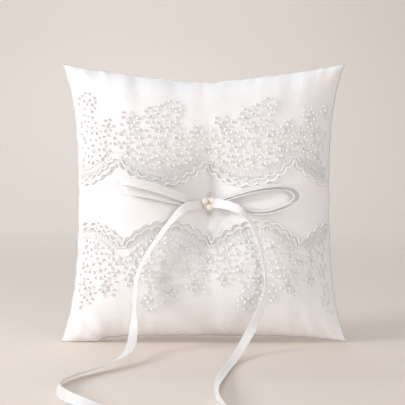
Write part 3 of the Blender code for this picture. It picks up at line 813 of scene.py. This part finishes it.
def eared(points, side):
    """The empty lower left corner lies flat on the table and folds where the filling starts."""
    u, v = unit_grid()
    outward = np.array([0.0, 1.0, 0.0]) * (side * 2 - 1)
    made = points.copy()
    weight = smooth_step(-u, 0.60, 0.72) * smooth_step(-v, 0.55, 1.0)
    made[..., 2] -= weight * BOTTOM_PULL * bow(u, EDGE_BOW)
    below = smooth_step(-v, 0.66, 0.76) * smooth_step(-u, 0.58, 0.66)
    depth, width, foot = EAR_FOLD
    fold = depth * np.exp(-from_ear_line(u, v, foot) / width)
    height, width, foot = EAR_RIDGE
    ridge = height * np.exp(-(from_ear_line(u, v, foot) / width) ** 2)
    made += outward * ((ridge - fold) * below)[..., None]
    return made


def pressed_back(points):
    """Flattens the lobes of the back, which the cushion leans or lies on."""
    made = points.copy()
    made[..., 1] = np.minimum(made[..., 1], BACK_REACH)
    return made


def smoothed(points):
    """Moves each point inside the border halfway to the middle of its neighbours."""
    made = points.copy()
    around = (points[:-2, 1:-1] + points[2:, 1:-1] + points[1:-1, :-2] + points[1:-1, 2:]) / 4
    made[1:-1, 1:-1] = 0.5 * points[1:-1, 1:-1] + 0.5 * around
    return made


def cushion_faces():
    """Grids of points of the front and the back, upright around the cushion's centre."""
    u, v = unit_grid()
    faces_now = [analytic_skin(u, v, -1), analytic_skin(u, v, 1)]
    faces_now = simulated_cushion(faces_now)
    finished = []
    for side, points in enumerate(faces_now):
        points = eared(dressed(points, side, SEED + 10 * side), side)
        if side == 1:
            points = pressed_back(points)
        finished.append(smoothed(points))
    return finished


def grid_normals(points, side):
    """The way out of the cushion at each point of a face."""
    across = np.gradient(points, axis=1)
    upward = np.gradient(points, axis=0)
    return unit(np.cross(across, upward)) * (1 if side == 0 else -1)


def sampled(grid, u, v):
    """Reads a grid of points or normals at u and v from -1 to 1."""
    a = np.clip((np.asarray(u) + 1) / 2 * CELLS, 0, CELLS - 1e-6)
    b = np.clip((np.asarray(v) + 1) / 2 * CELLS, 0, CELLS - 1e-6)
    i, j = a.astype(int), b.astype(int)
    a, b = (a - i)[..., None], (b - j)[..., None]
    low = grid[j, i] * (1 - a) + grid[j, i + 1] * a
    high = grid[j + 1, i] * (1 - a) + grid[j + 1, i + 1] * a
    return low * (1 - b) + high * b


# ---------------------------------------------------------------- the cushion's pieces

def cover_face(name, points, side, finish, replaced):
    """One face of the cover, with its cloth's thickness and its folded edge at the seam."""
    outward = side * 2 - 1
    u, v = unit_grid()
    border = border_mask()
    outside = points.copy()
    outside[..., 1] = np.where(border, outward * SEAM_HALF, outside[..., 1])
    normals = grid_normals(points, side)
    inside = outside - normals * CLOTH
    hem = unit(np.stack([-u, np.zeros_like(u), -v], axis=-1)) * HEM
    inside[border] = (outside + hem + np.array([0, outward * HEM_OPEN, 0]))[border]
    faces = doubled_sheet(border.shape)
    verts = np.concatenate([outside.reshape(-1, 3), inside.reshape(-1, 3)])
    uv = np.stack([(u + 1) / 2, (v + 1) / 2], axis=-1).reshape(-1, 2)
    made = make_piece(name, place(verts), faces, finish, np.concatenate([uv, uv]), replaced)
    folded = set(np.flatnonzero(border).tolist())
    crease = made.data.attributes.new("crease_edge", "FLOAT", "EDGE")
    for edge, mark in zip(made.data.edges, crease.data):
        mark.value = 1.0 if folded.issuperset(edge.vertices) else 0.0
    fine = made.modifiers.new("fine", "SUBSURF")
    fine.levels = fine.render_levels = 1
    return made


def filling_piece(front, back, finish):
    """The stuffing, a little inside the cover."""
    inside = slice(FILLING_STEP, -FILLING_STEP, FILLING_STEP)
    halves = []
    for side, points in enumerate((front, back)):
        inner = points - grid_normals(points, side) * FILLING_GAP
        halves.append(inner[inside, inside])
    faces = doubled_sheet(halves[0].shape[:2])
    verts = np.concatenate([half.reshape(-1, 3) for half in halves])
    made = make_piece("stuffing", place(verts), faces, finish, replaced=["fibre_filling"])


def seam_pieces(front, finish):
    """The machine seam in its groove, and the ladder stitches over the turning gap."""
    line = round_the_edge(front)
    line[:, 1] = 0
    gap = int(CELLS * GAP_SHARE)
    start, end = CELLS // 2 - gap, CELLS // 2 + gap
    machine = np.concatenate([line[end:], line[:start + 1]])
    verts, faces = tube(machine, SEAM_THREAD_RADIUS, 6)
    make_piece("seam_thread", place(verts), faces, finish, replaced=["edge_seam_thread"])
    opening = line[start:end + 1]
    route = []
    for k, spot in enumerate(opening[::2]):
        sway = LADDER_SWAY if k % 2 else -LADDER_SWAY
        route.append(spot + np.array([0, sway, -LADDER_DROP]))
    verts, faces = tube(np.array(route), LADDER_RADIUS, 6)
    make_piece("ladder_stitches", place(verts), faces, finish, replaced=["closing_stitches"])


# ---------------------------------------------------------------- the lace

class Lace:
    """One band of lace on the front face; turn is -1 for the lower band."""

    def __init__(self, front, turn):
        self.front = front
        self.normals = grid_normals(front, 0)
        self.turn = turn
        self.dip = LACE_DIPS[turn]

    def on_face(self, across, up):
        """u and v on the cushion's face, from metres on the band's flat cloth."""
        return self.turn * np.asarray(across) / CUT_HALF, self.turn * np.asarray(up) / CUT_HALF

    def at(self, across, up, lift):
        """Points lift metres over the satin, given in metres on the band's flat cloth."""
        u, v = self.on_face(across, up)
        return sampled(self.front, u, v) + sampled(self.normals, u, v) * lift

    def facing(self, across, up):
        u, v = self.on_face(across, up)
        return unit(sampled(self.normals, u, v))


def scallop(from_low):
    """Height of the scalloped edge above the middle of the cloth, from_low metres past a low point."""
    from_dip = from_low / LACE_REPEAT
    from_dip = 2 * np.abs(from_dip - np.round(from_dip))
    return LACE_EDGE + LACE_SCALLOP * from_dip ** LACE_SCALLOP_POWER


def edge_line(dip, inward, waves):
    """A line along the scallops: across and up, with the small waves of the edge."""
    across = np.linspace(-LACE_REACH, LACE_REACH, EDGE_STEPS)
    up = scallop(across - dip)
    length = running_length(np.hypot(np.diff(across), np.diff(up)))
    slope = np.gradient(up, across)
    aside = np.stack([-slope, np.ones_like(slope)], axis=-1) / np.hypot(1, slope)[:, None]
    crest = np.abs(np.sin(np.pi * length / EDGE_WAVE)) ** EDGE_WAVE_ROUND
    wave = 1 - crest * EDGE_WAVE_SWING
    offset = inward + waves * EDGE_WAVE_DEPTH * wave
    across = across + aside[:, 0] * offset
    up = up + aside[:, 1] * offset
    keep = np.abs(across) < LACE_REACH
    return across[keep][::2], up[keep][::2]


def field_top(from_low):
    """Height of the field between the clusters, which rises and falls once each repeat."""
    phase = (from_low - FIELD_PLACES[0]) / LACE_REPEAT
    phase = (phase - math.floor(phase)) * LACE_REPEAT + FIELD_PLACES[0]
    return float(np.interp(phase, FIELD_PLACES, FIELD_HEIGHTS))


def in_field(x, y):
    """Whether a place, x metres past a low point, is embroidered."""
    if y < scallop(x) + FESTOON + FIELD_GAP:
        return False
    if y < field_top(x):
        return True
    gaps = [(math.remainder(x - cx, LACE_REPEAT), y - cy, size) for cx, cy, size in CLUSTERS]
    return any(math.hypot(dx, dy) < size for dx, dy, size in gaps)


def scattered(spacing, tries, dice, first):
    """Places in one repeat of the field, no two nearer than spacing, beside the first ones given."""
    spots = np.array(first)
    for _ in range(tries):
        x = dice.uniform(-LACE_REPEAT / 2, LACE_REPEAT / 2)
        y = dice.uniform(0.02, LACE_TOP)
        if not in_field(x, y):
            continue
        across = np.abs(spots[:, 0] - x)
        across = np.minimum(across, LACE_REPEAT - across)
        if np.hypot(across, spots[:, 1] - y).min() > spacing:
            spots = np.vstack([spots, (x, y)])
    return spots


def sprig_motif():
    """One repeat of the embroidery: roots, and dots that each hang by a stem from the nearest root."""
    dice = random.Random(SEED)
    roots = scattered(SPRIG_SPACING, 2500, dice, [(x, y - 0.001) for x, y, _ in CLUSTERS])
    dots = scattered(DOT_SPACING, 9000, dice, [(0.0, 0.035)])
    motif = []
    for x, y in dots:
        across = roots[:, 0] - x
        across = across - LACE_REPEAT * np.round(across / LACE_REPEAT)
        away = np.hypot(across, roots[:, 1] - y)
        nearest = int(away.argmin())
        root = (x + across[nearest], roots[nearest, 1])
        motif.append(((x, y), root, dice.uniform(-0.18, 0.18), dice.uniform(0.85, 1.12)))
    return motif


def dot_shape():
    """Vertices and faces of a ball of radius 1."""
    bm = bmesh.new()
    bmesh.ops.create_icosphere(bm, subdivisions=2, radius=1)
    verts = np.array([tuple(v.co) for v in bm.verts])
    faces = [tuple(v.index for v in f.verts) for f in bm.faces]
    bm.free()
    return verts, faces


def add_dot(parts, shape, centre, normal, radius):
    """A raised satin-stitch dot, a ball pressed flatter along the cloth's normal."""
    verts, faces = shape
    side = unit(np.cross(normal, [0.3, 0.1, 1.0]))
    over = np.cross(normal, side)
    turned = verts[:, 0:1] * side + verts[:, 1:2] * over + verts[:, 2:3] * normal * DOT_FLATNESS
    parts.add((centre + radius * turned).tolist(), faces)


def sprigs(lace):
    """Baby's breath: bent stems from common roots, with a raised dot on each end."""
    shape = dot_shape()
    parts = Parts()
    motif = sprig_motif()
    share = np.linspace(0, 1, STEM_POINTS)
    for repeat in range(-2, 4):
        middle = lace.dip + repeat * LACE_REPEAT
        for (x, y), (root_x, root_y), bend, size in motif:
            if abs(middle + x) > LACE_REACH - 0.001 or abs(middle + root_x) > LACE_REACH:
                continue
            bow_out = bend * np.sin(np.pi * share)
            across = middle + root_x + (x - root_x) * share - (y - root_y) * bow_out
            up = root_y + (y - root_y) * share + (x - root_x) * bow_out
            route = lace.at(across, up, LACE_LIFT + STEM_RADIUS)
            parts.add(*tube(route, STEM_RADIUS, 4))
            normal = lace.facing(across[-1], up[-1])
            add_dot(parts, shape, route[-1] + normal * DOT_LIFT, normal, DOT_RADIUS * size)
    return parts


def edge_cord(parts, lace, inward, waves, radius, sides):
    across, up = edge_line(lace.dip, inward, waves)
    parts.add(*tube(lace.at(across, up, LACE_LIFT + radius), radius, sides))


def edging(lace):
    """The two wavy edge cords, the festoon line, and the bars, eyelets and dots between them."""
    parts = Parts()
    shape = dot_shape()
    edge_cord(parts, lace, 0.0, 1.0, EDGE_CORD_RADIUS, 6)
    edge_cord(parts, lace, SECOND_CORD, 0.9, SECOND_CORD_RADIUS, 6)
    across, up = edge_line(lace.dip, FESTOON, 0.35)
    parts.add(*tube(lace.at(across, up, LACE_LIFT + STEM_RADIUS), STEM_RADIUS * 1.3, 5))
    dense = np.linspace(-LACE_REACH, LACE_REACH, EDGE_STEPS)
    length = running_length(np.hypot(np.diff(dense), np.diff(scallop(dense - lace.dip))))
    share = np.linspace(SECOND_CORD, FESTOON, STEM_POINTS)
    turns = np.linspace(0, 2 * np.pi, EYELET_SIDES + 1)[:-1]
    for mark in np.arange(BAR_SPACING / 2, length[-1], BAR_SPACING):
        x = np.interp(mark, length, dense)
        base = scallop(x - lace.dip)
        slope = (scallop(x - lace.dip + 0.0005) - scallop(x - lace.dip - 0.0005)) / 0.001
        lean = np.array([-slope, 1.0]) / math.hypot(1, slope)
        across = x + lean[0] * share
        if np.abs(across).max() > LACE_REACH:
            continue
        route = lace.at(across, base + lean[1] * share, LACE_LIFT + STEM_RADIUS)
        parts.add(*tube(route, STEM_RADIUS, 4))
        eyelet_x = x + lean[0] * (SECOND_CORD + EYELET_INSIDE) + EYELET_RADIUS * np.cos(turns)
        eyelet_y = base + lean[1] * (SECOND_CORD + EYELET_INSIDE) + EYELET_RADIUS * np.sin(turns)
        ring = lace.at(eyelet_x, eyelet_y, LACE_LIFT + STEM_RADIUS)
        parts.add(*tube(ring, STEM_RADIUS, 4, closed=True))
        tip = x + lean[0] * (FESTOON + PICOT_INSIDE), base + lean[1] * (FESTOON + PICOT_INSIDE)
        add_dot(parts, shape, lace.at(*tip, PICOT_LIFT), lace.facing(*tip), PICOT_RADIUS)
    return parts


def net_ground(lace):
    """The net that the embroidery is worked on: a sheet from the scalloped edge to its cut top."""
    columns, rows = NET_GRID
    across = np.linspace(-LACE_REACH, LACE_REACH, columns + 1)[None, :]
    share = np.linspace(0, 1, rows + 1)[:, None]
    up = scallop(across - lace.dip) * (1 - share) + LACE_TOP * share
    across = np.broadcast_to(across, up.shape)
    points = lace.at(across, up, NET_LIFT)
    quads = grid_quads(np.arange(up.size).reshape(up.shape))
    uv = np.stack([across / (2 * LACE_REACH) + 0.5, (up - LACE_EDGE) / (LACE_TOP - LACE_EDGE)], axis=-1)
    return points.reshape(-1, 3), quads.tolist(), uv.reshape(-1, 2)


def lace_band(place_name, front, turn, finish, net):
    """One band: its net, its sprigs and its edging."""
    lace = Lace(front, turn)
    verts, faces, uv = net_ground(lace)
    ground = make_piece(
        place_name + "_net", place(verts), faces, net, uv, [place_name + "_lace_net"]
    )
    worked = sprigs(lace)
    sprays = make_piece(place_name + "_sprigs", place(worked.verts), worked.faces, finish)
    worked = edging(lace)
    edge = make_piece(
        place_name + "_edging", place(worked.verts), worked.faces, finish,
        replaced=[place_name + "_lace_edge_cord", place_name + "_lace_inner_cord"],
    )


# ---------------------------------------------------------------- the ribbon

def ribbon_shape(route_mm, cup, gathers=None):
    """A ribbon with a slightly cupped section and firm edges.

    gathers is how far from each end, in metres, the ribbon is pulled together into pleats.
    """
    route = smooth_route([[c * MM for c in p[:3]] for p in route_mm], RIBBON_STEPS)
    across = smooth_route([p[3:] for p in route_mm], RIBBON_STEPS)
    ahead = ways(route)
    across = unit(across - ahead * np.sum(across * ahead, axis=1, keepdims=True))
    upward = unit(np.cross(ahead, across))
    length = running_length(np.linalg.norm(np.diff(route, axis=0), axis=1))
    to_end = np.minimum(length, length[-1] - length)
    pulled = np.exp(-(to_end / gathers) ** 2) if gathers else np.zeros_like(length)
    columns = np.linspace(-1, 1, RIBBON_COLUMNS)
    width = RIBBON_WIDTH / 2 * (1 - GATHERED_SHARE * pulled)
    pleats = np.cos(3.5 * np.pi * columns)[None, :] * pulled[:, None] * PLEAT_DEPTH
    level = cup * (columns ** 2)[None, :] * (1 - pulled)[:, None] + pleats
    middle = (
        route[:, None]
        + across[:, None] * (width[:, None] * columns[None, :])[..., None]
        + upward[:, None] * level[..., None]
    )
    selvedge = 1 + 0.5 * (np.abs(columns) > SELVEDGE)
    half = upward[:, None] * (RIBBON_THICK / 2 * selvedge)[None, :, None]
    verts = np.concatenate([(middle + half).reshape(-1, 3), (middle - half).reshape(-1, 3)])
    shape = middle.shape[:2]
    faces = doubled_sheet(shape)
    u = np.broadcast_to((columns + 1) / 2, shape)
    v = np.broadcast_to((length / length[-1])[:, None], shape)
    uv = np.stack([u, v], axis=-1).reshape(-1, 2)
    return verts, faces, np.concatenate([uv, uv]), route, float(length[-1])


def bow_loops(finish):
    """The four loops; the right ones are drawn on into the knot, which their solids stop short of."""
    for node, route in (
        ("bow_loop_left_front", LOOP_LEFT_FRONT),
        ("bow_loop_left_rear", LOOP_LEFT_REAR),
        ("bow_loop_right_outer", LOOP_INTO_KNOT + LOOP_RIGHT_OUTER + LOOP_INTO_KNOT),
        ("bow_loop_right_inner", LOOP_INTO_KNOT + LOOP_RIGHT_INNER + LOOP_INTO_KNOT),
    ):
        verts, faces, uv, _, _ = ribbon_shape(route, LOOP_CUP, LOOP_GATHERS)
        make_piece(node + "_ribbon", place(verts), faces, finish, uv, [node])


def tails(finish):
    """The two free ends of the bow; the right one is drawn on behind the pearls, into the knot."""
    for node, route_mm in (
        ("ribbon_tail_left", TAIL_LEFT),
        ("ribbon_tail_right", TAIL_INTO_KNOT + TAIL_RIGHT),
    ):
        verts, faces, uv, route, length = ribbon_shape(route_mm, TAIL_CUP)
        verts[:, 2] = np.maximum(verts[:, 2], RIBBON_THICK / 4)
        made = make_piece(node + "_ribbon", verts, faces, finish, uv, [node])


def knot_piece(finish):
    """The ribbon wound tightly round the bow's middle, in soft folds."""
    rings, sides = 25, 40
    verts = []
    for i in range(1, rings):
        polar = math.pi * i / rings
        for j in range(sides):
            turn = 2 * math.pi * j / sides
            folds = 1 + KNOT_FOLD_DEPTH * math.cos(7 * polar + 0.8 * math.sin(turn))
            x = math.cos(polar) * KNOT_SIZE[0]
            y = math.sin(polar) * math.cos(turn) * KNOT_SIZE[1] * folds
            z = math.sin(polar) * math.sin(turn) * KNOT_SIZE[2] * folds
            verts.append((TUFT_X + x, KNOT_Y + y, z))
    faces = []
    for i in range(rings - 2):
        faces += ring_faces(i * sides, (i + 1) * sides, sides)
    faces.append(tuple(range(sides)))
    faces.append(tuple((rings - 2) * sides + j for j in range(sides)))
    uv = [(0.5 + 0.5 * math.sin(k), 0.02 * (k % sides) / sides) for k in range(len(verts))]
    make_piece("wound_knot", place(verts), faces, finish, uv, ["bow_knot"])


def pearl_pieces(finish):
    """Three drilled pearls, each a turned profile with a fine hole through it."""
    start = math.asin(PEARL_HOLE / PEARL_RADIUS)
    bead = [start + (math.pi - 2 * start) * k / 30 for k in range(31)]
    profile = [(PEARL_RADIUS * math.sin(a), PEARL_RADIUS * math.cos(a)) for a in bead]
    reach = profile[0][1]
    profile += [(PEARL_HOLE, -reach * 0.6), (PEARL_HOLE, 0.0), (PEARL_HOLE, reach * 0.6)]
    sides = 40
    for k, node in enumerate(("pearl_right", "pearl_left", "pearl_lower")):
        angle = PEARL_RING_TURN + 2 * math.pi * k / 3
        outward = np.array([math.cos(angle), 0, math.sin(angle)])
        axis = np.array([-math.sin(angle), 0, math.cos(angle)])
        forward = np.array([0, -1.0, 0])
        centre = np.array([TUFT_X, PEARL_Y, 0]) + outward * PEARL_RING
        verts = []
        for radius, height in profile:
            for s in range(sides):
                turn = 2 * math.pi * s / sides
                round_it = outward * math.cos(turn) + forward * math.sin(turn)
                verts.append(centre + axis * height + round_it * radius)
        faces = []
        rows = len(profile)
        for i in range(rows):
            faces += ring_faces(i * sides, (i + 1) % rows * sides, sides)
        make_piece(node + "_bead", place(verts), faces, finish, replaced=[node])


def carried_over(finishes):
    """Gives the CAD nodes that are kept as they are their finished materials."""
    for node, finish in finishes.items():
        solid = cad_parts[node]
        if not solid.material_slots:
            solid.data.materials.append(finish)
        for slot in solid.material_slots:
            slot.material = finish


# ---------------------------------------------------------------- everything

make_camera()
ribbon_satin = ribbon_finish()
tails(ribbon_satin)
make_lights()
make_floor()

cotton = thread_finish("thread", (0.94, 0.94, 0.93), 1.4, 0.65)
lace_cotton = thread_finish("lace", (0.965, 0.965, 0.96), 1.1, 0.6)
satin = satin_finish()
front_face, back_face = cushion_faces()
cover_face("satin_front", front_face, 0, satin, ["front_panel"])
cover_face("satin_back", back_face, 1, satin, ["back_panel"])
filling_piece(front_face, back_face, fibre_finish())
seam_pieces(front_face, cotton)
net = net_finish()
lace_band("upper", front_face, 1, lace_cotton, net)
lace_band("lower", front_face, -1, lace_cotton, net)
bow_loops(ribbon_satin)
knot_piece(ribbon_satin)
pearl_pieces(pearl_finish())
carried_over({"pearl_thread": cotton, "tuft_thread": cotton, "tuft_anchor_knot": cotton})
